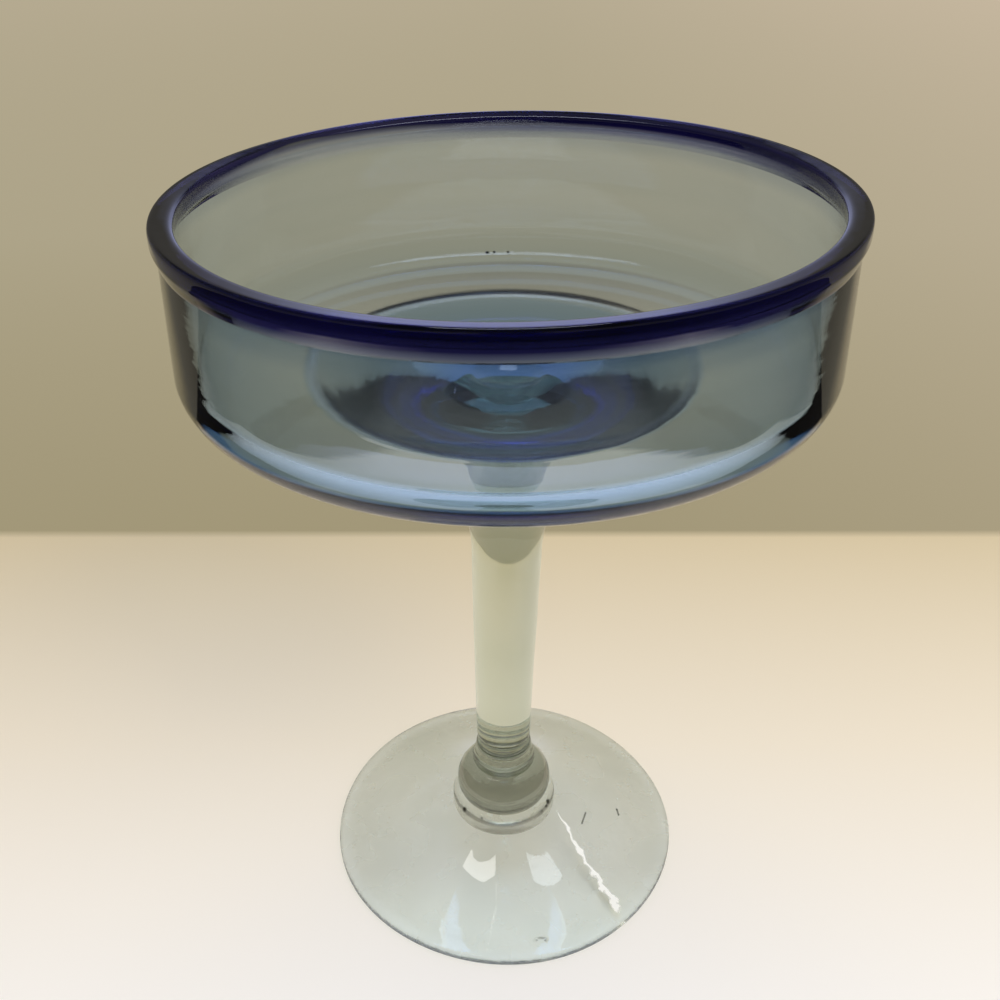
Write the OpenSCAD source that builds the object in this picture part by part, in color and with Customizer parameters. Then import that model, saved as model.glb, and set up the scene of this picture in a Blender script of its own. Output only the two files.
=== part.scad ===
// Hand-blown margarita glass with a wide shallow bowl, a cobalt lip thread and a clear knopped stem.
// Every piece is a turned form about the Z axis. The origin is the middle of the circle the foot rests on.
// The pieces are stacked from the foot up, so each one starts where the one below it ends.

/* [Foot] */
// Outer diameter of the foot
foot_d = 89; // [70:1:105]
// Thickness of the foot at its round edge
foot_edge_t = 2.2; // [1.6:0.1:3.4]
// Height of the seat in the middle of the foot
foot_rise = 9.2; // [7.5:0.1:13]
// Radius of the sweep from the seat out to the edge
foot_sweep_r = 100; // [75:5:300]
// Width of the flat ring that the foot rests on
foot_rest_w = 1.9; // [1:0.1:4]
// Depth of the hollow under the foot
foot_hollow = 3.2; // [1.5:0.1:4.5]
// Diameter of the ground mark in the middle of the hollow
pontil_d = 15; // [8:1:22]
// Depth of the ground mark
pontil_depth = 0.7; // [0.3:0.1:1.5]

/* [Foot ring] */
// Outer diameter of the ring between foot and knop
ring_d = 26.8; // [22:0.2:32]
// Height of the ring
ring_h = 5.4; // [4:0.1:8]
// Rounding of the ring's upper edge
ring_top_round = 2; // [0.6:0.1:2.2]
// Rounding of the ring's lower edge, where it runs into the foot
ring_foot_round = 1.2; // [0.4:0.1:1.7]

/* [Knop] */
// Largest diameter of the knop
knop_d = 24.2; // [23:0.2:30]
// Height of the knop between its two joints
knop_h = 9.6; // [7:0.1:14]
// Height of the widest line above the lower joint
knop_belly_h = 3.5; // [2:0.1:6]
// Diameter of the knop at the joint with the foot ring
knop_foot_d = 22; // [18:0.2:22.4]
// Diameter of the knop at the joint with the collar
knop_top_d = 14.8; // [14.4:0.1:20]

/* [Stem collar] */
// Diameter of the bead at the bottom of the collar
collar_bead_d = 16; // [14.4:0.1:20]
// Height of the bead
collar_bead_h = 4.6; // [4:0.1:6]
// Rounding of the bead's upper edge
bead_top_round = 2.6; // [1:0.1:3]
// Rounding of the bead's lower edge, where it runs into the knop
bead_foot_round = 0.8; // [0.4:0.1:1.3]
// Diameter of the ring above the bead
collar_ring_d = 14.2; // [13:0.1:17]
// Height of the ring
collar_ring_h = 2.6; // [2.4:0.1:4]
// Rounding of the ring's edges
collar_ring_round = 1.1; // [0.4:0.1:1.1]
// Height of the neck above the ring, which meets the stem
collar_neck_h = 2.8; // [1.5:0.1:5]
// How far the neck is drawn in halfway up
collar_neck_in = 0.3; // [0.1:0.05:0.6]

/* [Stem] */
// Diameter of the stem where it meets the collar
stem_bottom_d = 13.6; // [12:0.1:16]
// Diameter of the stem where the flare begins
stem_top_d = 16.2; // [14:0.1:20]
// Length of the straight taper
stem_taper_h = 54.6; // [30:0.5:90]
// Radius of the sweep that flares from the stem into the trumpet under the bowl
flare_r = 46.8; // [38:0.1:52]
// Height of the part of the flare that belongs to the stem
flare_h = 25; // [14:0.5:28]

/* [Bowl] */
// Outer diameter of the bowl at the top of its corner
bowl_d = 133.2; // [120:0.2:150]
// How far the wall leans in on each side, from its corner up to the lip
wall_lean = 0.6; // [-4:0.1:6]
// Height of the wall from the corner to the lip thread
wall_h = 23.1; // [14:0.5:45]
// Thickness of the wall at the lip
wall_t = 1.9; // [1.6:0.1:3.4]
// Thickness of the wall just above the corner
wall_foot_t = 3.1; // [2:0.1:4]
// Outer radius of the corner between wall and floor
corner_r = 8; // [6:0.1:12]
// Inner radius of the same corner
corner_in_r = 7; // [4:0.1:9]
// Thickness of the floor next to the corner
floor_t = 3.4; // [2.6:0.1:5]
// Fall of the floor's underside from the corner in to the trumpet, in degrees
under_fall = 2.6; // [0:0.2:6]
// Diameter of the trumpet's upper edge, where it leaves the floor's underside
trumpet_d = 82; // [78:0.5:96]
// Fall of the trumpet below that edge, in degrees
trumpet_fall = 28; // [22:0.5:34]
// Fall of the floor inside the bowl from the corner in to the dish, in degrees
floor_fall = 7; // [3:0.5:10]
// Diameter of the dish in the floor, over the trumpet
dish_d = 81; // [70:0.5:96]
// Depth of the dish, from its edge down to the edge of the well
dish_depth = 4.5; // [3:0.1:5.5]
// Radius of the dish's hollow sweep
dish_r = 84; // [60:2:300]
// Diameter of the round well in the middle of the dish
well_d = 15.2; // [10:0.2:22]
// Depth of the well below its own edge
well_depth = 2.1; // [1.6:0.1:3]

/* [Lip thread] */
// Thickness of the round bead along the lip
bead_d = 4.7; // [3.6:0.1:6]
// Height from the top of the wall to the middle of the bead
bead_rise = 3.35; // [3:0.05:5]
// How far the middle of the bead lies in from the wall's outer face
bead_in = 1.3; // [0.8:0.05:1.6]

/* [Hidden] */
$fn = 160;
// Steps in each arc of an outline
arc_steps = 20;
// Points of an outline that lie closer together than this are one point
same_point = 0.001;

CLEAR = [0.80, 0.84, 0.78, 0.55];
PALE_BLUE = [0.60, 0.70, 0.80, 0.55];
COBALT = [0.08, 0.07, 0.36];

// Joint heights, from the foot up
ring_z = foot_rise;
knop_z = ring_z + ring_h;
collar_z = knop_z + knop_h;
collar_ring_z = collar_z + collar_bead_h;
collar_neck_z = collar_ring_z + collar_ring_h;
stem_z = collar_neck_z + collar_neck_h;
flare_z = stem_z + stem_taper_h;
bowl_z = flare_z + flare_h;

// Middle of the flare's arc, which the stem and the bowl share, and where the joint cuts it
flare_mid = [stem_top_d / 2 + flare_r, flare_z];
joint_angle = 180 - asin(flare_h / flare_r);
// Where the flare runs out into the trumpet's straight side, and the edge where that side ends
flare_end = flare_mid + flare_r * [-sin(trumpet_fall), cos(trumpet_fall)];
trumpet_edge = [
    trumpet_d / 2,
    flare_end[1] + (trumpet_d / 2 - flare_end[0]) * tan(trumpet_fall)
];
// Middle of the outer corner, whose arc begins where the underside ends
corner_mid_r = bowl_d / 2 - corner_r;
under_end_r = corner_mid_r + corner_r * sin(under_fall);
under_end_z = trumpet_edge[1] + (under_end_r - trumpet_edge[0]) * tan(under_fall);
corner_mid = [corner_mid_r, under_end_z + corner_r * cos(under_fall)];
// Middle of the inner corner, whose arc ends where the floor begins
corner_in_mid = [
    bowl_d / 2 - wall_foot_t - corner_in_r,
    corner_mid[1] - corner_r + floor_t + corner_in_r
];
floor_end = corner_in_mid + corner_in_r * [sin(floor_fall), -cos(floor_fall)];
// The dish sweeps from its own edge down to the edge of the well
dish_edge = [dish_d / 2, floor_end[1] - (floor_end[0] - dish_d / 2) * tan(floor_fall)];
well_edge = [well_d / 2, dish_edge[1] - dish_depth];
dish_mid = mid_right_of(dish_edge, well_edge, dish_r);
// The well is the cap of a ball that stands below its own edge
well_ball_r = cap_ball_r(well_d / 2, well_depth);
well_ball_z = well_edge[1] - well_depth + well_ball_r;
// The lip, on which the thread of glass lies
lip_r = bowl_d / 2 - wall_lean;
lip_z = corner_mid[1] + wall_h;
lip_out = [lip_r, lip_z];
lip_in = [lip_r - wall_t, lip_z];

// Radius of a ball whose cap has this radius at its base and this height
function cap_ball_r(base_r, cap_h) = (base_r * base_r + cap_h * cap_h) / (2 * cap_h);

function angle_to(mid, point) = atan2(point[1] - mid[1], point[0] - mid[0]);

// Angle at which a line from a point touches a circle, on the side that a turn of this sign leads to
function touch_angle(mid, r, point, turn) =
    angle_to(mid, point) + turn * acos(r / norm(point - mid));

// Middle of a circle through two points, on the right of the way from the first to the second
function mid_right_of(from, to, r) =
    let (
        step = to - from,
        half = norm(step) / 2,
        across = [step[1], -step[0]] / norm(step)
    )
    (from + to) / 2 + across * sqrt(r * r - half * half);

// Points along an arc from one angle to another
function arc(mid, r, from, to) = [
    for (i = [0:arc_steps])
        let (a = from + (to - from) * i / arc_steps)
        mid + r * [cos(a), sin(a)]
];

// The edge of a disc that stands on the height z, rounded below and above
function wafer_edge(d, h, z, foot_round, top_round) = concat(
    arc([d / 2 - foot_round, z + foot_round], foot_round, -90, 0),
    arc([d / 2 - top_round, z + h - top_round], top_round, 0, 90)
);

// Turns an outline, given as stretches from the axis up and back to it, into a solid
module turned(stretches) {
    points = [for (stretch = stretches) each stretch];
    rotate_extrude() polygon([
        for (i = [0:len(points) - 1])
            if (i == 0 || norm(points[i] - points[max(i - 1, 0)]) > same_point) points[i]
    ]);
}

module foot() {
    edge_mid = [foot_d / 2 - foot_edge_t / 2, foot_edge_t / 2];
    seat = [ring_d / 2 - ring_foot_round, foot_rise];
    sweep_start = [edge_mid[0], foot_edge_t];
    sweep_mid = mid_right_of(sweep_start, seat, foot_sweep_r);
    hollow_r = edge_mid[0] - foot_rest_w;
    hollow_ball_r = cap_ball_r(hollow_r, foot_hollow);
    hollow_mid = [0, foot_hollow - hollow_ball_r];
    mark_edge_angle = acos(pontil_d / 2 / hollow_ball_r);
    mark_edge = hollow_mid + hollow_ball_r * [cos(mark_edge_angle), sin(mark_edge_angle)];
    mark_top_z = foot_hollow + pontil_depth;
    mark_ball_r = cap_ball_r(mark_edge[0], mark_top_z - mark_edge[1]);
    mark_mid = [0, mark_top_z - mark_ball_r];
    color(CLEAR) turned([
        arc(mark_mid, mark_ball_r, 90, angle_to(mark_mid, mark_edge)),
        arc(hollow_mid, hollow_ball_r, mark_edge_angle, angle_to(hollow_mid, [hollow_r, 0])),
        arc(edge_mid, foot_edge_t / 2, -90, 90),
        arc(
            sweep_mid, foot_sweep_r,
            angle_to(sweep_mid, sweep_start), angle_to(sweep_mid, seat)
        ),
        [[0, foot_rise]]
    ]);
}

module foot_ring() {
    color(CLEAR) turned([
        [[0, ring_z]],
        wafer_edge(ring_d, ring_h, ring_z, ring_foot_round, ring_top_round),
        [[0, knop_z]]
    ]);
}

module knop() {
    // Two arcs that share the widest line, each as round as its joint's diameter asks
    belly_z = knop_z + knop_belly_h;
    top_h = knop_h - knop_belly_h;
    foot_arc_r = cap_ball_r(knop_belly_h, (knop_d - knop_foot_d) / 2);
    top_arc_r = cap_ball_r(top_h, (knop_d - knop_top_d) / 2);
    color(CLEAR) turned([
        [[0, knop_z]],
        arc([knop_d / 2 - foot_arc_r, belly_z], foot_arc_r, -asin(knop_belly_h / foot_arc_r), 0),
        arc([knop_d / 2 - top_arc_r, belly_z], top_arc_r, 0, asin(top_h / top_arc_r)),
        [[0, collar_z]]
    ]);
}

module stem_collar() {
    waist_arc_r = cap_ball_r(collar_neck_h / 2, collar_neck_in);
    waist_r = stem_bottom_d / 2 - collar_neck_in;
    waist_half = asin(collar_neck_h / 2 / waist_arc_r);
    color(CLEAR) turned([
        [[0, collar_z]],
        wafer_edge(collar_bead_d, collar_bead_h, collar_z, bead_foot_round, bead_top_round),
        wafer_edge(
            collar_ring_d, collar_ring_h, collar_ring_z,
            collar_ring_round, collar_ring_round
        ),
        arc(
            [waist_r + waist_arc_r, collar_neck_z + collar_neck_h / 2], waist_arc_r,
            180 + waist_half, 180 - waist_half
        ),
        [[0, stem_z]]
    ]);
}

module stem() {
    color(CLEAR) turned([
        [[0, stem_z], [stem_bottom_d / 2, stem_z]],
        arc(flare_mid, flare_r, 180, joint_angle),
        [[0, bowl_z]]
    ]);
}

module bowl() {
    color(PALE_BLUE) turned([
        [[0, bowl_z]],
        arc(flare_mid, flare_r, joint_angle, 90 + trumpet_fall),
        [trumpet_edge],
        arc(corner_mid, corner_r, under_fall - 90, touch_angle(corner_mid, corner_r, lip_out, -1)),
        [lip_out, lip_in],
        arc(
            corner_in_mid, corner_in_r,
            touch_angle(corner_in_mid, corner_in_r, lip_in, -1), floor_fall - 90
        ),
        arc(dish_mid, dish_r, angle_to(dish_mid, dish_edge), angle_to(dish_mid, well_edge)),
        arc([0, well_ball_z], well_ball_r, asin(well_d / 2 / well_ball_r) - 90, -90)
    ]);
}

module rim_wrap() {
    bead_mid = [lip_r - bead_in, lip_z + bead_rise];
    color(COBALT) turned([
        [lip_in, lip_out],
        arc(
            bead_mid, bead_d / 2,
            touch_angle(bead_mid, bead_d / 2, lip_out, 1),
            touch_angle(bead_mid, bead_d / 2, lip_in, -1) + 360
        )
    ]);
}

foot();
foot_ring();
knop();
stem_collar();
stem();
bowl();
rim_wrap();
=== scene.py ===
import math

import bpy
from mathutils import Matrix, Vector, noise


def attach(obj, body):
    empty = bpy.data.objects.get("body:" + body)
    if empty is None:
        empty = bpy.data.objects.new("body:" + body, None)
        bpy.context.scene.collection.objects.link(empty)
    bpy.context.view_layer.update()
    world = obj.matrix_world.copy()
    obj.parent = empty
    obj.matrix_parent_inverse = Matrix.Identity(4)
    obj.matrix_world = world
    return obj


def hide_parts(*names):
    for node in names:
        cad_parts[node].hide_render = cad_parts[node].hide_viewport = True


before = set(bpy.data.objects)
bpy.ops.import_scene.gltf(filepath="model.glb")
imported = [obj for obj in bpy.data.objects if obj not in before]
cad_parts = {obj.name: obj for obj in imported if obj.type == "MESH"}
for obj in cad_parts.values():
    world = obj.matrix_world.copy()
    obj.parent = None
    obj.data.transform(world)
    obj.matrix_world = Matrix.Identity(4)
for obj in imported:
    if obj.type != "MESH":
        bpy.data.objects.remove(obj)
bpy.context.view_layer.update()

MM = 0.001
GLASS, SEAM = 0, 1  # kinds of face: open glass, and a face fused to the next piece
SAME_PLACE = 0.002  # two points of an outline closer than this, in mm, are one
ON_AXIS = 1e-6  # a smaller radius than this, in mm, lies on the axis

# ---- Sizes of the turned outlines, in mm and degrees, as in the part's source ----
foot_d, foot_edge_t, foot_rise, foot_sweep_r = 89, 2.2, 9.2, 100
foot_rest_w, foot_hollow, pontil_d, pontil_depth = 1.9, 3.2, 15, 0.7
ring_d, ring_h, ring_top_round, ring_foot_round = 26.8, 5.4, 2, 1.2
knop_d, knop_h, knop_belly_h, knop_foot_d, knop_top_d = 24.2, 9.6, 3.5, 22, 14.8
collar_bead_d, collar_bead_h, bead_top_round, bead_foot_round = 16, 4.6, 2.6, 0.8
collar_ring_d, collar_ring_h, collar_ring_round = 14.2, 2.6, 1.1
collar_neck_h, collar_neck_in = 2.8, 0.3
stem_bottom_d, stem_top_d, stem_taper_h, flare_r, flare_h = 13.6, 16.2, 54.6, 46.8, 25
bowl_d, wall_lean, wall_h, wall_t, wall_foot_t = 133.2, 0.6, 23.1, 1.9, 3.1
corner_r, corner_in_r, floor_t, under_fall, floor_fall = 8, 7, 3.4, 2.6, 7
trumpet_d, trumpet_fall, dish_d, dish_depth, dish_r = 82, 28, 81, 4.5, 84
well_d, well_depth, bead_d, bead_rise, bead_in = 15.2, 2.1, 4.7, 3.35, 1.3

ring_z = foot_rise
knop_z = ring_z + ring_h
collar_z = knop_z + knop_h
collar_ring_z = collar_z + collar_bead_h
collar_neck_z = collar_ring_z + collar_ring_h
stem_z = collar_neck_z + collar_neck_h
flare_z = stem_z + stem_taper_h
bowl_z = flare_z + flare_h


# ---- Geometry of the outlines: points are (radius, height) in mm, angles in degrees ----
def sin(degrees):
    return math.sin(math.radians(degrees))


def cos(degrees):
    return math.cos(math.radians(degrees))


def tan(degrees):
    return math.tan(math.radians(degrees))


def cap_ball_r(base_r, cap_h):
    """Radius of the ball that a cap with this base radius and height is cut from."""
    return (base_r**2 + cap_h**2) / (2 * cap_h)


def angle_to(mid, point):
    return math.degrees(math.atan2(point[1] - mid[1], point[0] - mid[0]))


def mid_right_of(start, end, r):
    """Middle of a circle through two points, on the right of the way from start to end."""
    dx, dz = end[0] - start[0], end[1] - start[1]
    length = math.hypot(dx, dz)
    off = math.sqrt(r**2 - (length / 2) ** 2) / length
    return ((start[0] + end[0]) / 2 + dz * off, (start[1] + end[1]) / 2 - dx * off)


def touch_angle(mid, r, point, turn):
    """Where on a circle a line from the point touches it: turn 1 or -1 picks the side."""
    gap = math.dist(mid, point)
    return angle_to(mid, point) + turn * math.degrees(math.acos(r / gap))


def arc(mid, r, start, end, steps):
    return [
        (
            mid[0] + r * cos(start + (end - start) * i / steps),
            mid[1] + r * sin(start + (end - start) * i / steps),
        )
        for i in range(steps + 1)
    ]


def filled(points, step):
    """The same outline with points added wherever two lie further apart than step."""
    out = [points[0]]
    for a, b in zip(points, points[1:]):
        n = max(1, math.ceil(math.dist(a, b) / step - 1e-6))
        out += [
            (a[0] + (b[0] - a[0]) * i / n, a[1] + (b[1] - a[1]) * i / n)
            for i in range(1, n + 1)
        ]
    return out


def eased(points, rounds):
    """The same outline with its corners worn round, its two ends kept."""
    for _ in range(rounds):
        inner = [
            ((a[0] + 2 * b[0] + c[0]) / 4, (a[1] + 2 * b[1] + c[1]) / 4)
            for a, b, c in zip(points, points[1:], points[2:])
        ]
        points = [points[0]] + inner + [points[-1]]
    return points


# ---- What the hand left in the form: every joint moves with both its pieces ----
foot_below_z, stem_zone_z, bowl_zone_z = 10, (36, 112), (112, 172)
sway, sway_zone_z = 1.0, (34, 120)  # the bowl stands this far to the right of the foot
lip_rise, lip_tilt_x, lip_tilt_y = 0.25, 0.0146, 0.0090
stem_skin, stem_skin_full_r = 0.16, 6
foot_lift, foot_lift_zone_r = 0.16, (20, 42)
# Waves round the axis, each (height, number, start): shares of the radius, and mm
bowl_waves = ((0.0022, 2, 0.5), (0.0012, 3, 1.9))
foot_waves, foot_waves_zone_r = ((0.25, 2, 2.1), (0.14, 5, 0.4)), (16, 44)


def grown(value, start, end):
    """0 up to start and 1 from end on, with a soft run between them."""
    x = min(max((value - start) / (end - start), 0.0), 1.0)
    return x * x * (3 - 2 * x)


def waves(a, parts):
    return sum(height * math.cos(number * a + start) for height, number, start in parts)


def hand(x, y, z):
    """Moves a point of the perfect turned form to where the glassblower left it."""
    r = math.hypot(x, y)
    a = math.atan2(y, x)
    up = grown(z, *bowl_zone_z)
    r_new = r * (1 + up * waves(a, bowl_waves))
    z_new = z + up * (lip_rise + lip_tilt_x * x + lip_tilt_y * y)
    if z < foot_below_z:
        r_new += grown(r, *foot_waves_zone_r) * waves(a, foot_waves)
        lift = grown(r, *foot_lift_zone_r) * grown(z, 0, foot_edge_t)
        z_new += lift * foot_lift * math.cos(3 * a + 0.7)
    low, high = stem_zone_z
    if low < z < high:
        along = math.sin(math.pi * (z - low) / (high - low))
        skin = noise.noise((x * 0.05, y * 0.05, z * 0.07))
        r_new += along * stem_skin * skin * min(r / stem_skin_full_r, 1)
    aside = sway * grown(z, *sway_zone_z)
    return Vector((r_new * math.cos(a) + aside, r_new * math.sin(a), z_new))


# ---- Turned meshes ----
def one_outline(stretches):
    """All stretches as one outline: its points, and the kind of each step between them."""
    points, kinds = [], []
    for stretch, kind in stretches:
        for p in stretch:
            if points and math.dist(points[-1], p) < SAME_PLACE:
                continue
            if points:
                kinds.append(kind)
            points.append(p)
    if points[0][0] >= ON_AXIS:
        if math.dist(points[0], points[-1]) < SAME_PLACE:
            points.pop()
        else:
            kinds.append(stretches[-1][1])
    return points, kinds


def turned(name, stretches, around, absorbs):
    """A closed turned mesh. Each stretch is (points, kind), from the axis up and back to it,
    or once round a ring. Glass that absorbs has one slot, and marks its seams by attribute.
    """
    points, kinds = one_outline(stretches)
    on_axis = [p[0] < ON_AXIS for p in points]
    verts, first = [], []
    for (r, z), pole in zip(points, on_axis):
        first.append(len(verts))
        if pole:
            verts.append(hand(0, 0, z) * MM)
            continue
        for i in range(around):
            t = 2 * math.pi * i / around
            verts.append(hand(r * math.cos(t), r * math.sin(t), z) * MM)
    faces, face_kinds = [], []
    for s, kind in enumerate(kinds):
        e = (s + 1) % len(points)
        a, b = first[s], first[e]
        for i in range(around):
            j = (i + 1) % around
            if on_axis[s]:
                faces.append((a, b + j, b + i))
            elif on_axis[e]:
                faces.append((a + i, a + j, b))
            else:
                faces.append((a + i, a + j, b + j, b + i))
            face_kinds.append(kind)
    mesh = bpy.data.meshes.new(name)
    mesh.from_pydata(verts, [], faces)
    mesh.polygons.foreach_set("material_index", face_kinds)
    mesh.polygons.foreach_set("use_smooth", [True] * len(faces))
    sharp = mesh.attributes.new("sharp_edge", "BOOLEAN", "EDGE")
    kinds_at = {}
    for poly in mesh.polygons:
        for key in poly.edge_keys:
            kinds_at.setdefault(key, set()).add(poly.material_index)
    sharp.data.foreach_set(
        "value", [len(kinds_at.get(tuple(sorted(e.vertices)), ())) > 1 for e in mesh.edges]
    )
    if absorbs:
        mesh.polygons.foreach_set("material_index", [GLASS] * len(faces))
        joint = mesh.attributes.new("joint", "FLOAT", "FACE")
        joint.data.foreach_set("value", [float(kind == SEAM) for kind in face_kinds])
    mesh.update()
    piece = bpy.data.objects.new(name, mesh)
    bpy.context.scene.collection.objects.link(piece)
    return piece


# ---- The pieces' outlines ----
def foot_outline():
    edge_mid = (foot_d / 2 - foot_edge_t / 2, foot_edge_t / 2)
    seat = (ring_d / 2 - ring_foot_round, foot_rise)
    sweep_start = (edge_mid[0], foot_edge_t)
    sweep_mid = mid_right_of(sweep_start, seat, foot_sweep_r)
    hollow_r = edge_mid[0] - foot_rest_w
    ball_r = cap_ball_r(hollow_r, foot_hollow)
    hollow_mid = (0, foot_hollow - ball_r)
    mark_angle = math.degrees(math.acos(pontil_d / 2 / ball_r))
    mark_edge = (ball_r * cos(mark_angle), hollow_mid[1] + ball_r * sin(mark_angle))
    mark_top = foot_hollow + pontil_depth
    mark_r = cap_ball_r(mark_edge[0], mark_top - mark_edge[1])
    mark_mid = (0, mark_top - mark_r)
    mark = arc(mark_mid, mark_r, 90, angle_to(mark_mid, mark_edge), steps=12)
    rest_angle = angle_to(hollow_mid, (hollow_r, 0))
    hollow = arc(hollow_mid, ball_r, mark_angle, rest_angle, steps=24)
    sweep = arc(
        sweep_mid,
        foot_sweep_r,
        angle_to(sweep_mid, sweep_start),
        angle_to(sweep_mid, seat),
        steps=36,
    )
    under = filled(mark + hollow + [(edge_mid[0], 0)], step=0.8)
    return [
        (eased(under, rounds=3), GLASS),
        (arc(edge_mid, foot_edge_t / 2, -90, 90, steps=20), GLASS),
        (filled(sweep, step=0.8), GLASS),
        ([(0, foot_rise)], SEAM),
    ]


def wafer_edge(d, h, z, foot_round, top_round):
    low_mid = (d / 2 - foot_round, z + foot_round)
    high_mid = (d / 2 - top_round, z + h - top_round)
    return arc(low_mid, foot_round, -90, 0, steps=10) + arc(
        high_mid, top_round, 0, 90, steps=14
    )


def ring_outline():
    edge = wafer_edge(ring_d, ring_h, ring_z, ring_foot_round, ring_top_round)
    return [
        ([(0, ring_z)], SEAM),
        ([edge[0]], SEAM),
        (edge[1:], GLASS),
        ([(knop_foot_d / 2, knop_z)], GLASS),
        ([(0, knop_z)], SEAM),
    ]


def knop_outline():
    belly_z = knop_z + knop_belly_h
    top_h = knop_h - knop_belly_h
    foot_r = cap_ball_r(knop_belly_h, (knop_d - knop_foot_d) / 2)
    top_r = cap_ball_r(top_h, (knop_d - knop_top_d) / 2)
    foot_angle = -math.degrees(math.asin(knop_belly_h / foot_r))
    top_angle = math.degrees(math.asin(top_h / top_r))
    low = arc((knop_d / 2 - foot_r, belly_z), foot_r, foot_angle, 0, steps=14)
    high = arc((knop_d / 2 - top_r, belly_z), top_r, 0, top_angle, steps=22)
    return [
        ([(0, knop_z), low[0]], SEAM),
        (low[1:] + high, GLASS),
        ([(collar_bead_d / 2 - bead_foot_round, collar_z)], GLASS),
        ([(0, collar_z)], SEAM),
    ]


def collar_outline():
    waist_r = cap_ball_r(collar_neck_h / 2, collar_neck_in)
    half = math.degrees(math.asin(collar_neck_h / 2 / waist_r))
    bead = wafer_edge(
        collar_bead_d, collar_bead_h, collar_z, bead_foot_round, bead_top_round
    )
    ring = wafer_edge(
        collar_ring_d, collar_ring_h, collar_ring_z, collar_ring_round, collar_ring_round
    )
    waist_mid = (
        stem_bottom_d / 2 - collar_neck_in + waist_r,
        collar_neck_z + collar_neck_h / 2,
    )
    neck = arc(waist_mid, waist_r, 180 + half, 180 - half, steps=10)
    side = eased(filled(bead + ring + neck, step=0.25), rounds=24)
    return [
        ([(0, collar_z), side[0]], SEAM),
        (side[1:], GLASS),
        ([(0, stem_z)], SEAM),
    ]


flare_mid = (stem_top_d / 2 + flare_r, flare_z)
joint_angle = 180 - math.degrees(math.asin(flare_h / flare_r))


def stem_outline():
    flare = arc(flare_mid, flare_r, 180, joint_angle, steps=30)
    side = filled([(stem_bottom_d / 2, stem_z)] + flare, step=1.5)
    return [
        ([(0, stem_z), side[0]], SEAM),
        (side[1:], GLASS),
        ([(0, bowl_z)], SEAM),
    ]


flare_end = (
    flare_mid[0] - flare_r * sin(trumpet_fall),
    flare_mid[1] + flare_r * cos(trumpet_fall),
)
trumpet_edge = (
    trumpet_d / 2,
    flare_end[1] + (trumpet_d / 2 - flare_end[0]) * tan(trumpet_fall),
)
corner_mid_r = bowl_d / 2 - corner_r
under_end_r = corner_mid_r + corner_r * sin(under_fall)
under_end_z = trumpet_edge[1] + (under_end_r - trumpet_edge[0]) * tan(under_fall)
corner_mid = (corner_mid_r, under_end_z + corner_r * cos(under_fall))
corner_in_mid = (
    bowl_d / 2 - wall_foot_t - corner_in_r,
    corner_mid[1] - corner_r + floor_t + corner_in_r,
)
floor_end = (
    corner_in_mid[0] + corner_in_r * sin(floor_fall),
    corner_in_mid[1] - corner_in_r * cos(floor_fall),
)
dish_edge = (dish_d / 2, floor_end[1] - (floor_end[0] - dish_d / 2) * tan(floor_fall))
well_edge = (well_d / 2, dish_edge[1] - dish_depth)
dish_mid = mid_right_of(dish_edge, well_edge, dish_r)
well_ball_r = cap_ball_r(well_d / 2, well_depth)
well_ball_z = well_edge[1] - well_depth + well_ball_r
lip_r = bowl_d / 2 - wall_lean
lip_z = corner_mid[1] + wall_h
lip_out, lip_in = (lip_r, lip_z), (lip_r - wall_t, lip_z)


def bowl_outline():
    wall_foot = touch_angle(corner_mid, corner_r, lip_out, -1)
    wall_foot_in = touch_angle(corner_in_mid, corner_in_r, lip_in, -1)
    well_half = math.degrees(math.asin(well_d / 2 / well_ball_r))
    dish_from, dish_to = angle_to(dish_mid, dish_edge), angle_to(dish_mid, well_edge)
    outside = filled(
        arc(flare_mid, flare_r, joint_angle, 90 + trumpet_fall, steps=40)
        + [trumpet_edge]
        + arc(corner_mid, corner_r, under_fall - 90, wall_foot, steps=32)
        + [lip_out],
        step=1.2,
    )
    inside = filled(
        [lip_in]
        + arc(corner_in_mid, corner_in_r, wall_foot_in, floor_fall - 90, steps=28)
        + arc(dish_mid, dish_r, dish_from, dish_to, steps=24)
        + arc((0, well_ball_z), well_ball_r, well_half - 90, -90, steps=16),
        step=0.8,
    )
    return [
        ([(0, bowl_z), outside[0]], SEAM),
        (outside[1:], GLASS),
        ([lip_in], SEAM),
        (eased(inside, rounds=2)[1:], GLASS),
    ]


def rim_outline():
    """The thread's bead, whose crown was melted flatter than a circle."""
    steps, flatness, crown_lean, crown_drop = 96, 0.35, 0.14, 0.04
    mid = (lip_r - bead_in, lip_z + bead_rise)
    start = touch_angle(mid, bead_d / 2, lip_out, 1)
    end = touch_angle(mid, bead_d / 2, lip_in, -1) + 360
    bead = []
    for i in range(steps + 1):
        at = start + (end - start) * i / steps
        across, rise = cos(at), sin(at)
        if rise > 0:
            across = math.copysign(abs(across) ** flatness, across)
            rise = rise**flatness + (crown_lean * across - crown_drop) * rise
        bead.append((mid[0] + bead_d / 2 * across, mid[1] + bead_d / 2 * rise))
    return [
        ([lip_in, lip_out], SEAM),
        (eased(filled(bead, step=0.2), rounds=3) + [lip_in], GLASS),
    ]


# ---- Node trees: places in them are in metres ----
def rgb(r, g, b):
    return (r, g, b, 1.0)


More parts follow.
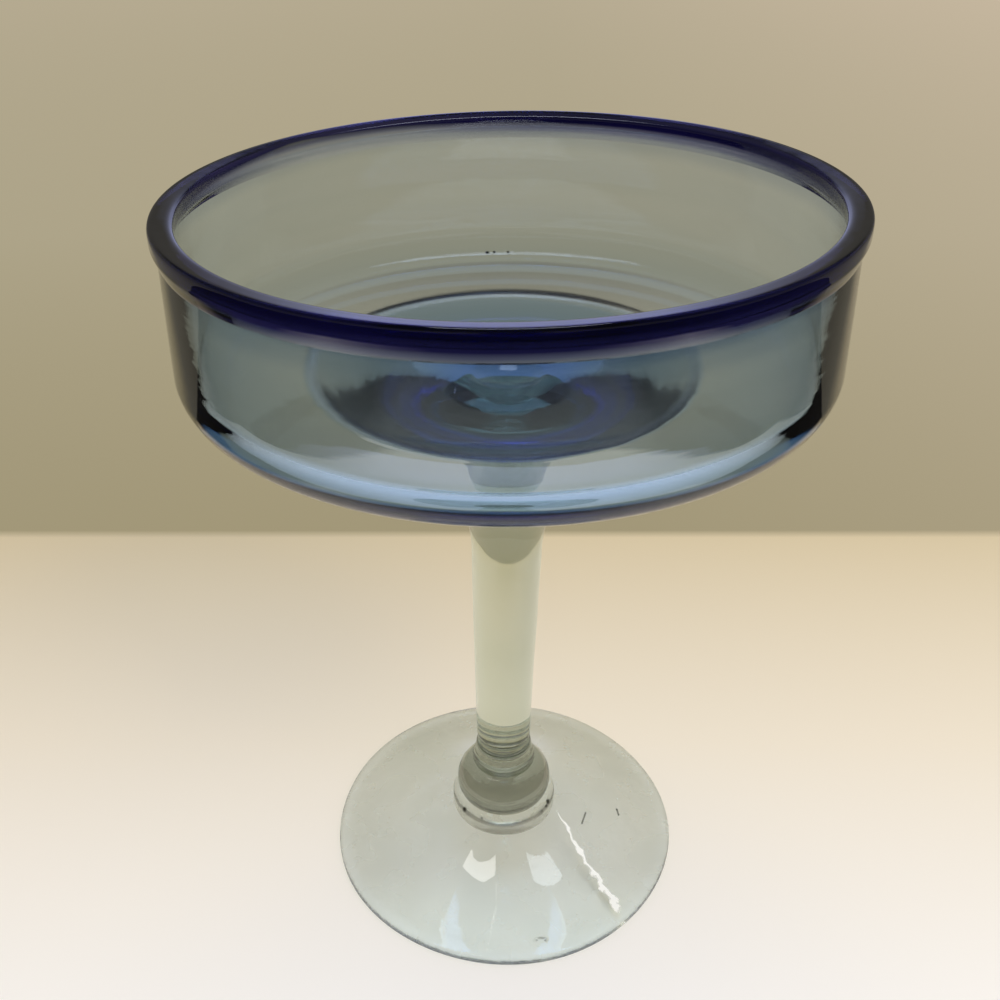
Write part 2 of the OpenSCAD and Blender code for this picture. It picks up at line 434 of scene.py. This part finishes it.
class Tree:
    """Short hand for building the node tree of a material or a world."""

    def __init__(self, owner):
        self.owner = owner
        owner.use_nodes = True
        self.nt = owner.node_tree
        self.nt.nodes.clear()

    def add(self, kind, settings=None, **inputs):
        """A new node. An input is called by its name, or by i and its number."""
        node = self.nt.nodes.new(kind)
        for key, value in (settings or {}).items():
            setattr(node, key, value)
        for key, value in inputs.items():
            numbered = key[0] == "i" and key[1:].isdigit()
            socket = node.inputs[int(key[1:]) if numbered else key.replace("_", " ")]
            if isinstance(value, bpy.types.NodeSocket):
                self.nt.links.new(value, socket)
            else:
                socket.default_value = value
        return node

    def math(self, operation, *values):
        inputs = {f"i{n}": value for n, value in enumerate(values)}
        return self.add("ShaderNodeMath", {"operation": operation}, **inputs).outputs[0]

    def measure(self, operation, *vectors):
        """A vector operation that gives a number, such as LENGTH or DOT_PRODUCT."""
        inputs = {f"i{n}": vector for n, vector in enumerate(vectors)}
        node = self.add("ShaderNodeVectorMath", {"operation": operation}, **inputs)
        return node.outputs["Value"]

    def where(self):
        """The point's place on the object, and its X, Y and Z."""
        place = self.add("ShaderNodeTexCoord").outputs["Object"]
        return place, self.add("ShaderNodeSeparateXYZ", Vector=place).outputs

    def from_axis(self, place):
        return self.measure("LENGTH", self.stretched(place, (1, 1, 0)))

    def ramp(self, fac, stops, mode="EASE"):
        node = self.add("ShaderNodeValToRGB", Fac=fac)
        ramp = node.color_ramp
        ramp.interpolation = mode
        while len(ramp.elements) > 1:
            ramp.elements.remove(ramp.elements[-1])
        ramp.elements[0].position, ramp.elements[0].color = stops[0]
        for at, colour in stops[1:]:
            ramp.elements.new(at).color = colour
        return node.outputs["Color"]

    def remap(self, value, low, high, to_low=0.0, to_high=1.0):
        return self.add(
            "ShaderNodeMapRange",
            Value=value,
            From_Min=low,
            From_Max=high,
            To_Min=to_low,
            To_Max=to_high,
        ).outputs["Result"]

    def fall(self, value, low, high):
        """A mask: 1 up to low, 0 from high on."""
        return self.remap(value, low, high, 1.0, 0.0)

    def flipped(self, mask):
        return self.fall(mask, 0.0, 1.0)

    def noise(self, vector, scale, detail):
        node = self.add("ShaderNodeTexNoise", Vector=vector, Scale=scale, Detail=detail)
        return node.outputs["Fac"]

    def stretched(self, vector, scale):
        return self.add("ShaderNodeMapping", Vector=vector, Scale=scale).outputs["Vector"]

    def mix(self, fac, a, b, blend="MIX"):
        kind = {"data_type": "RGBA", "blend_type": blend}
        return self.add("ShaderNodeMix", kind, i0=fac, i6=a, i7=b).outputs[2]

    def shader(self, kind, **inputs):
        return self.add(kind, **inputs).outputs[0]

    def mix_shaders(self, fac, a, b):
        return self.shader("ShaderNodeMixShader", i0=fac, i1=a, i2=b)

    def rays(self):
        return self.add("ShaderNodeLightPath").outputs

    def seen(self, rays):
        """1 for the rays that show a background: straight, mirrored or through glass."""
        bent = self.math("MAXIMUM", rays["Is Glossy Ray"], rays["Is Transmission Ray"])
        return self.math("MAXIMUM", rays["Is Camera Ray"], bent)

    def out(self, surface, volume=None):
        end = self.add("ShaderNodeOutputMaterial", Surface=surface)
        if volume is not None:
            self.nt.links.new(volume, end.inputs["Volume"])
        return self.owner


# ---- Materials ----
GLASS_IOR, AIR_IOR = 1.5, 1.0

# Seeds and grit in the glass, each (x, y, z, radius) in mm
bowl_seeds = (
    (-4.2, 63.4, 137.2, 0.45),
    (-2.4, 63.5, 137.4, 0.35),
    (1.2, 63.5, 137.4, 0.35),
    (53.0, 35.0, 156.6, 0.40),
    (34.1, 53.6, 147.8, 0.30),
    (43.0, 46.7, 146.1, 0.30),
)
ring_grit = (
    (-10.3, -8.2, 13.7, 0.55),
    (-11.2, -7.2, 14.2, 0.40),
    (-5.8, -11.8, 14.4, 0.50),
    (11.8, -5.8, 14.1, 0.60),
    (11.2, -7.0, 13.6, 0.35),
    (9.9, -8.6, 13.4, 0.30),
)
foot_grit = (
    (21.9, -2.2, 5.8, 0.24),
    (21.7, -2.9, 5.9, 0.24),
    (21.5, -3.6, 5.9, 0.24),
    (21.2, -4.4, 5.9, 0.24),
    (21.0, -5.1, 6.0, 0.24),
    (20.8, -5.8, 6.0, 0.24),
    (30.7, 1.0, 3.8, 0.24),
    (30.8, 0.4, 3.8, 0.24),
    (30.9, -0.3, 3.7, 0.24),
    (31.0, -0.9, 3.7, 0.24),
    (31.6, -12.5, 3.1, 0.20),
)

# The foot's own marks, and the streak of its painted highlight, in mm
hollow_top, hollow_slope = 6.2, -0.12  # everything below this cone is its hollow side
# A jagged white streak on the foot's top, from start to end: a painted highlight
painted_streak_start, painted_streak_end = (14.2, -4.0), (28.6, -30.5)
blister_at, blister_scale = (9.0, -38.6), (0.72, 1.1)  # scaled in x and y to an oval
# The cone over the trumpet's flank, height on the axis in mm and slope
flank_top, flank_slope = 124.3, 0.26


def glass(t, colour, roughness, normal, shade, absorb=None, passing=None, painted_highlight=None):
    """Solid glass. Lamps and scattered light pass straight through it, tinted by shade.
    absorb is the (colour, density) of its inside. Then its joint faces bend nothing, and
    tint what comes through by passing. Where the last argument is 1, the surface turns a
    white diffuse: a painted highlight."""
    ior = GLASS_IOR
    if absorb is not None:
        joint = t.add("ShaderNodeAttribute", {"attribute_name": "joint"}).outputs["Fac"]
        colour = t.mix(joint, colour, passing)
        roughness = t.math("MULTIPLY", roughness, t.flipped(joint))
        ior = t.remap(joint, 0.0, 1.0, GLASS_IOR, AIR_IOR)
    body = t.shader(
        "ShaderNodeBsdfPrincipled",
        Base_Color=colour,
        Roughness=roughness,
        IOR=ior,
        Transmission_Weight=1.0,
        Normal=normal,
    )
    rays = t.rays()
    clear = t.shader("ShaderNodeBsdfTransparent", Color=shade)
    surface = t.mix_shaders(rays["Is Shadow Ray"], body, clear)
    surface = t.mix_shaders(rays["Is Diffuse Ray"], surface, clear)
    # A white diffuse where the mask is 1: a painted highlight
    if painted_highlight is not None:
        white = t.shader("ShaderNodeBsdfDiffuse", Color=rgb(0.95, 0.94, 0.88))
        surface = t.mix_shaders(painted_highlight, surface, white)
    if absorb is None:
        return t.out(surface)
    tint, density = absorb
    inside = t.shader("ShaderNodeVolumeAbsorption", Color=tint, Density=density)
    return t.out(surface, inside)


def bumps(t, *layers):
    """Bump layers, each (height, strength, distance in metres)."""
    normal = None
    for height, strength, distance in layers:
        node = t.add("ShaderNodeBump", Height=height, Strength=strength, Distance=distance)
        if normal is not None:
            t.nt.links.new(normal, node.inputs["Normal"])
        normal = node.outputs[0]
    return normal


def specks(t, place, spots):
    """Grit seen in the glass: 1 inside any of the spots, 0 outside."""
    found = None
    for x, y, z, r in spots:
        away = t.measure("DISTANCE", place, (x * MM, y * MM, z * MM))
        spot = t.fall(away, r * MM, r * 1.5 * MM)
        found = spot if found is None else t.math("MAXIMUM", spot, found)
    return found


def below(t, z, from_axis, base, slope):
    """1 where a point lies lower than a cone (height in mm at the axis, slope), 0 above it."""
    over = t.math("MULTIPLY_ADD", from_axis, -slope, z)
    return t.fall(over, (base - 0.2) * MM, (base + 0.2) * MM)


def painted_streak(t, place, start, end):
    """A jagged streak that widens from start to end (x, y in mm): a painted highlight's mask.
    """
    dx, dy = end[0] - start[0], end[1] - start[1]
    length = math.hypot(dx, dy)
    along_axis = (dx / length, dy / length, 0.0)
    side_axis = (-dy / length, dx / length, 0.0)
    first = (start[0] * along_axis[0] + start[1] * along_axis[1]) * MM
    off = (start[0] * side_axis[0] + start[1] * side_axis[1]) * MM
    along = t.measure("DOT_PRODUCT", place, along_axis)
    part = t.remap(along, first, first + length * MM)
    swing, half_width = (0.002, 0.0075), (0.00018, 0.0011)  # at the start and at the end
    jag = t.math("SUBTRACT", t.noise(place, 320, 5), 0.5)
    shift = t.math("MULTIPLY", jag, t.remap(part, 0.0, 1.0, *swing))
    gap = t.math("SUBTRACT", t.measure("DOT_PRODUCT", place, side_axis), off)
    gap = t.math("ABSOLUTE", t.math("ADD", gap, shift))
    wide = t.remap(part, 0.0, 1.0, *half_width)
    mask = t.fall(t.math("DIVIDE", gap, wide), 0.6, 1.1)
    near_end = t.remap(along, first - 0.0004, first + 0.0008)
    far_end = t.remap(along, first + (length + 0.6) * MM, first + (length - 0.4) * MM)
    return t.math("MULTIPLY", t.math("MULTIPLY", mask, near_end), far_end)


def clear_glass(name, pale, deep, grit=(), is_foot=False):
    """Clear glass between two tints, with wavy skin and dark grit. The foot's has a pressed
    hollow side, a front painted paler as painted light, a blister, and a jagged white streak
    as a painted highlight."""
    t = Tree(bpy.data.materials.new(name))
    place, xyz = t.where()
    hollow = below(
        t, xyz["Z"], t.from_axis(place), hollow_top if is_foot else 0.0, hollow_slope
    )
    streaks = t.noise(t.stretched(place, (60, 60, 160)), 1.0, 3)
    slow = t.noise(place, 45, 2)
    pressed = t.math("MULTIPLY", t.noise(place, 130, 3), hollow)
    colour = t.mix(t.remap(slow, 0.3, 0.7), rgb(*deep), rgb(*pale))
    if grit:
        colour = t.mix(specks(t, place, grit), colour, rgb(0.006, 0.006, 0.004))
    layers = [(slow, 0.12, 0.0006), (streaks, 0.08, 0.0002), (pressed, 0.5, 0.0006)]
    painted_highlight = None
    if is_foot:
        (x, y), (scale_x, scale_y) = blister_at, blister_scale
        from_blister = t.measure(
            "DISTANCE",
            t.stretched(place, (scale_x, scale_y, 0)),
            (x * MM * scale_x, y * MM * scale_y, 0),
        )
        layers.append((t.fall(from_blister, 0.0008, 0.0015), 0.7, 0.0004))
        # The front of the foot is multiplied paler: painted light
        painted_light_front = t.remap(xyz["Y"], -0.018, -0.036)
        colour = t.mix(painted_light_front, colour, rgb(1.15, 1.19, 1.20), "MULTIPLY")
        # A jagged white streak on the foot's top side: a painted highlight
        painted_highlight = t.math(
            "MULTIPLY", painted_streak(t, place, painted_streak_start, painted_streak_end), t.flipped(hollow)
        )
    skin = t.remap(t.noise(place, 90, 4), 0.35, 0.8, 0.004, 0.03)
    rough = t.math("MULTIPLY_ADD", hollow, 0.26, skin)
    return glass(t, colour, rough, bumps(t, *layers), rgb(0.93, 0.95, 0.93), painted_highlight=painted_highlight)


def blue_glass():
    """Pale blue that deepens under the lip, with cords in it, tooling marks on the trumpet's
    flank, and a frosted fold round the dish's edge. The trumpet's flank and the far half of
    the floor are tinted darker and bluer: painted shade."""
    tint_zone_z, tint_wander, tint_lean = (0.15075, 0.17275), 0.005, 0.0304
    flank_edge_r, floor_edge_r, fold_r = (0.0415, 0.0425), (0.0395, 0.0405), 0.0403
    far_half_y, stem_joint_below_z = (0.002, 0.014), (0.150, 0.140)
    t = Tree(bpy.data.materials.new("pale_blue_glass_made"))
    place, xyz = t.where()
    from_axis = t.from_axis(place)

    # The tint by height, which wanders and sets in higher towards the back
    wander = t.noise(t.stretched(place, (14, 14, 30)), 1.0, 3)
    height = t.math("MULTIPLY_ADD", wander, tint_wander, xyz["Z"])
    height = t.math("MULTIPLY_ADD", xyz["Y"], -tint_lean, height)
    tint = t.ramp(
        t.remap(height, *tint_zone_z),
        [
            (0.0, rgb(0.96, 0.98, 0.99)),
            (0.62, rgb(0.90, 0.94, 0.97)),
            (0.82, rgb(0.70, 0.77, 0.86)),
            (0.93, rgb(0.42, 0.52, 0.70)),
            (1.0, rgb(0.30, 0.38, 0.62)),
        ],
    )
    cords = t.noise(t.stretched(place, (16, 16, 190)), 1.0, 3)
    cord_tint = t.remap(cords, 0.35, 0.7, 0.0, 0.35)
    colour = t.mix(cord_tint, tint, rgb(0.90, 0.93, 0.93), "MULTIPLY")

    # The flank of the trumpet, and the far half of the floor, both tinted darker: painted
    # shade
    low = below(t, xyz["Z"], from_axis, flank_top, flank_slope)
    flank = t.math("MULTIPLY", low, t.fall(from_axis, *flank_edge_r))
    colour = t.mix(flank, colour, rgb(0.66, 0.78, 0.96), "MULTIPLY")
    far_half = t.remap(xyz["Y"], *far_half_y)
    floor = t.math("MULTIPLY", t.fall(from_axis, *floor_edge_r), far_half)
    colour = t.mix(floor, colour, rgb(0.70, 0.82, 1.0), "MULTIPLY")
    colour = t.mix(specks(t, place, bowl_seeds), colour, rgb(0.004, 0.004, 0.003))

    slow = t.noise(place, 26, 2)
    tooled = t.noise(t.stretched(place, (40, 40, 420)), 1.0, 2)
    marks = t.math("MULTIPLY", tooled, flank)
    normal = bumps(t, (slow, 0.16, 0.0009), (cords, 0.14, 0.0002), (marks, 0.35, 0.0003))

    skin = t.remap(t.noise(place, 70, 4), 0.35, 0.8, 0.006, 0.04)
    rough = t.math("MULTIPLY_ADD", flank, 0.10, skin)
    from_fold = t.math("ABSOLUTE", t.math("SUBTRACT", from_axis, fold_r))
    fold = t.remap(from_fold, 0.0006, 0.0022, 0.24, 0.0)
    rough = t.math("MAXIMUM", rough, fold)

    # The stem's joint tints what comes through it, the lip's doesn't
    stem_joint = t.remap(xyz["Z"], *stem_joint_below_z)
    passing = t.mix(stem_joint, rgb(1, 1, 1), rgb(0.62, 0.64, 0.28))
    inside = (rgb(0.08, 0.43, 0.80), 95.0)
    return glass(t, colour, rough, normal, rgb(0.92, 0.94, 0.97), inside, passing)


def cobalt_glass():
    """Cobalt that thins out downwards, sooner on the bowl's side than on the outside."""
    # The colour's edge: its lean, its height inside and outside, and the radii between
    lean, edge_z, edge_zone_r = (-0.0146, -0.0190, 1.0), (0.1695, 0.16885), (0.0630, 0.0655)
    back_y, raised_x, raised_by = (0.0, 0.040), (0.005, -0.045), 0.0015
    t = Tree(bpy.data.materials.new("cobalt_glass_made"))
    place, xyz = t.where()
    from_axis = t.from_axis(place)
    slow = t.noise(place, 40, 3)
    streaks = t.noise(t.stretched(place, (30, 30, 240)), 1.0, 3)

    # How high a point lies over that edge, which is raised on the left of the back
    level = t.measure("DOT_PRODUCT", place, lean)
    wavy = t.math("MULTIPLY_ADD", streaks, 0.0008, level)
    edge = t.remap(from_axis, *edge_zone_r, *edge_z)
    back = t.remap(xyz["Y"], *back_y)
    raised = t.math("MULTIPLY", back, t.remap(xyz["X"], *raised_x, 0.0, raised_by))
    above = t.math("SUBTRACT", wavy, t.math("ADD", edge, raised))

    deep = t.mix(
        t.remap(streaks, 0.35, 0.7), rgb(0.002, 0.002, 0.045), rgb(0.008, 0.006, 0.11)
    )
    fading = t.ramp(
        t.remap(above, -0.0032, -0.0002),
        [
            (0.0, rgb(0.46, 0.54, 0.64)),
            (0.6, rgb(0.25, 0.31, 0.46)),
            (1.0, rgb(0.08, 0.10, 0.28)),
        ],
    )
    inner = t.math("MULTIPLY", t.fall(from_axis, 0.0640, 0.0655), back)
    fading = t.mix(inner, fading, rgb(0.72, 0.78, 0.84))
    colour = t.mix(t.remap(above, -0.0004, 0.0008), fading, deep)
    rough = t.remap(t.noise(place, 120, 3), 0.35, 0.8, 0.01, 0.05)
    return glass(t, colour, rough, bumps(t, (slow, 0.2, 0.0008)), rgb(0.35, 0.35, 0.7))


def seam():
    t = Tree(bpy.data.materials.new("fused_seam"))
    return t.out(t.shader("ShaderNodeBsdfTransparent"))


fused = seam()
foot_clear = clear_glass(
    "foot_clear_glass", (0.80, 0.82, 0.81), (0.73, 0.76, 0.75), foot_grit, is_foot=True
)
ring_clear = clear_glass(
    "ring_clear_glass", (0.78, 0.82, 0.78), (0.64, 0.68, 0.64), ring_grit
)
# The collar and knop are tinted far darker than the other clear pieces: partly the absorption
# of their thick glass, partly painted shade
collar_clear = clear_glass("collar_clear_glass", (0.37, 0.40, 0.31), (0.29, 0.33, 0.26))
knop_clear = clear_glass("knop_clear_glass", (0.24, 0.26, 0.20), (0.18, 0.21, 0.165))
stem_clear = clear_glass("stem_clear_glass", (0.71, 0.77, 0.69), (0.64, 0.71, 0.62))
blue = blue_glass()
cobalt = cobalt_glass()

# ---- The pieces, each in its node's place ----
for name, node, outline, around, material, slot in (
    ("foot_glass", "foot", foot_outline, 224, foot_clear, "clear_glass"),
    ("foot_ring_glass", "foot_ring", ring_outline, 160, ring_clear, "clear_glass"),
    ("knop_glass", "knop", knop_outline, 160, knop_clear, "clear_glass"),
    ("stem_collar_glass", "stem_collar", collar_outline, 160, collar_clear, "clear_glass"),
    ("stem_glass", "stem", stem_outline, 160, stem_clear, "clear_glass"),
    ("bowl_glass", "bowl", bowl_outline, 256, blue, "pale_blue_glass"),
    ("rim_thread", "rim_wrap", rim_outline, 256, cobalt, "cobalt_glass"),
):
    absorbs = material == blue
    piece = turned(name, outline(), around, absorbs)
    piece.data.materials.append(material)
    if not absorbs:
        piece.data.materials.append(fused)
    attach(piece, "root")
    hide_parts(node)


# ---- Stage: a pale table that turns into a warm grey backdrop behind the glass ----
def stage():
    """One flat plane. Rays that the glass sends on find it dark at its sides, and those that
    it mirrors find it dark close by too."""
    size, sunk = 6.0, 0.0002
    table_end_y, close_by_y = (0.141, 0.146), (-0.095, -0.15)
    wedge_x, wedge_spread, wedge_edge = 0.18, 0.5, (0.90, 1.12)
    mesh = bpy.data.meshes.new("floor")
    mesh.from_pydata(
        [(-size, -size, 0), (size, -size, 0), (size, size, 0), (-size, size, 0)],
        [],
        [(0, 1, 2, 3)],
    )
    floor = bpy.data.objects.new("floor", mesh)
    floor.location.z = -sunk
    bpy.context.scene.collection.objects.link(floor)

    t = Tree(bpy.data.materials.new("pale_table"))
    _, xyz = t.where()
    rays = t.rays()
    # The table is painted from near white at the front to a darker tan towards the backdrop:
    # painted light falloff
    near = t.ramp(
        t.remap(xyz["Y"], -0.06, 0.142),
        [
            (0.0, rgb(0.97, 0.94, 0.91)),
            (0.45, rgb(0.88, 0.79, 0.65)),
            (1.0, rgb(0.70, 0.59, 0.40)),
        ],
        "LINEAR",
    )
    far = t.ramp(
        t.remap(xyz["Y"], 0.14, 1.6),
        [
            (0.0, rgb(0.36, 0.31, 0.19)),
            (0.25, rgb(0.42, 0.37, 0.25)),
            (1.0, rgb(0.46, 0.40, 0.28)),
        ],
        "LINEAR",
    )
    far = t.mix(t.remap(xyz["X"], 0.05, 0.8), far, rgb(0.56, 0.47, 0.345))

    # The dark sides lie outside a wedge that opens backwards
    backwards = t.math("MAXIMUM", xyz["Y"], 0.0)
    wedge = t.math("MULTIPLY_ADD", backwards, wedge_spread, wedge_x)
    aside = t.math("DIVIDE", t.math("ABSOLUTE", xyz["X"]), wedge)
    close_by = t.math(
        "MULTIPLY",
        t.remap(xyz["Y"], *close_by_y),
        t.flipped(rays["Is Transmission Ray"]),
    )
    dark = t.math("MAXIMUM", t.remap(aside, *wedge_edge), close_by)
    dark = t.math("MULTIPLY", dark, t.flipped(rays["Is Camera Ray"]))
    near = t.mix(dark, near, rgb(0.032, 0.030, 0.028))
    far = t.mix(dark, far, rgb(0.24, 0.22, 0.17))

    table = t.shader("ShaderNodeBsdfDiffuse", Color=near)
    lit = t.shader("ShaderNodeBsdfDiffuse", Color=far)
    glow = t.shader("ShaderNodeEmission", Color=far, Strength=1.0)
    backdrop = t.mix_shaders(t.seen(rays), lit, glow)
    behind = t.remap(xyz["Y"], *table_end_y)
    mesh.materials.append(t.out(t.mix_shaders(behind, table, backdrop)))


stage()


# ---- Room: an even soft light, and what the glass mirrors and bends of it ----
def room():
    world = bpy.data.worlds.new("room")
    bpy.context.scene.world = world
    t = Tree(world)
    direction = t.add("ShaderNodeTexCoord").outputs["Generated"]
    xyz = t.add("ShaderNodeSeparateXYZ", Vector=direction).outputs
    backwards = t.remap(xyz["Y"], -1.0, 1.0)
    mirrored = t.ramp(
        backwards,
        [
            (0.0, rgb(0.030, 0.030, 0.034)),
            (0.5, rgb(0.04, 0.04, 0.042)),
            (0.8, rgb(0.34, 0.33, 0.38)),
            (1.0, rgb(0.72, 0.77, 1.18)),
        ],
    )
    aside = t.math("ABSOLUTE", xyz["X"])
    mirrored = t.mix(t.remap(aside, 0.11, 0.22), mirrored, rgb(0.17, 0.16, 0.145))
    mirrored = t.mix(t.remap(xyz["Z"], 0.34, 0.43), mirrored, rgb(0.05, 0.05, 0.056))
    through = t.ramp(
        backwards,
        [
            (0.0, rgb(0.030, 0.030, 0.034)),
            (0.5, rgb(0.09, 0.085, 0.08)),
            (0.8, rgb(0.30, 0.27, 0.21)),
            (1.0, rgb(0.44, 0.40, 0.30)),
        ],
    )
    rays = t.rays()
    shown = t.mix(rays["Is Transmission Ray"], mirrored, through)
    shown = t.mix(rays["Is Camera Ray"], shown, rgb(0.47, 0.41, 0.29))
    light = t.shader("ShaderNodeBackground", Color=rgb(1.0, 0.97, 0.92), Strength=0.68)
    picture = t.shader("ShaderNodeBackground", Color=shown, Strength=1.0)
    t.add("ShaderNodeOutputWorld", Surface=t.mix_shaders(t.seen(rays), light, picture))


room()

# ---- Lamps ----
warm_white, cool_white, sky_blue = (1.0, 0.98, 0.95), (0.84, 0.92, 1.0), (0.84, 0.89, 1.0)


def lamp(name, at, size, watts, colour, target=None, turn=0.0, mirrored=True, bent=False):
    """A rectangular lamp that the camera doesn't see. It faces its target, or straight
    down and turned about Z. The glass shows it where it is mirrored or bent."""
    data = bpy.data.lights.new(name, "AREA")
    data.shape = "RECTANGLE"
    data.size, data.size_y = size
    data.energy = watts
    data.color = colour
    ob = bpy.data.objects.new(name, data)
    ob.location = at
    if target:
        ob.rotation_mode = "QUATERNION"
        ob.rotation_quaternion = (Vector(target) - Vector(at)).to_track_quat("-Z", "Y")
    else:
        ob.rotation_euler.z = math.radians(turn)
    ob.visible_camera = False
    ob.visible_transmission = bent
    ob.visible_glossy = mirrored
    bpy.context.scene.collection.objects.link(ob)


lamp(
    "ceiling_back",
    at=(0.0, 0.42, 1.05),
    size=(0.34, 0.30),
    watts=1.3,
    colour=sky_blue,
    target=(0, 0, 0.05),
    bent=True,
)
lamp(
    "front_fill",
    at=(0.9, -0.9, 1.3),
    size=(0.8, 0.8),
    watts=11.5,
    colour=warm_white,
    target=(0, 0, 0.08),
    mirrored=False,
)
# Two small cards under the bowl, for the bright spots on the foot
lamp(
    "card_left",
    at=(-0.0235, -0.0040, 0.1047),
    size=(0.031, 0.0040),
    watts=0.0024,
    colour=warm_white,
    turn=160,
)
lamp(
    "card_right",
    at=(0.0350, 0.0020, 0.1016),
    size=(0.025, 0.0040),
    watts=0.0014,
    colour=cool_white,
    turn=34,
)

# ---- Camera, fitted to the outlines of lip, bowl and foot in the photograph ----
camera = bpy.data.cameras.new("camera")
camera.sensor_width = 36
camera.lens = 39.6
camera.clip_start = 0.01
eye = bpy.data.objects.new("camera", camera)
eye.location = (0, -0.210, 0.2317)
pitch, yaw, roll = 31.50, -0.22, -0.14
forward = Vector((sin(yaw) * cos(pitch), cos(yaw) * cos(pitch), -sin(pitch)))
facing = forward.to_track_quat("-Z", "Y").to_matrix().to_4x4()
eye.rotation_mode = "QUATERNION"
eye.rotation_quaternion = (
    facing @ Matrix.Rotation(math.radians(roll), 4, "Z")
).to_quaternion()
bpy.context.scene.collection.objects.link(eye)
bpy.context.scene.camera = eye
bpy.context.scene.view_settings.view_transform = "Standard"
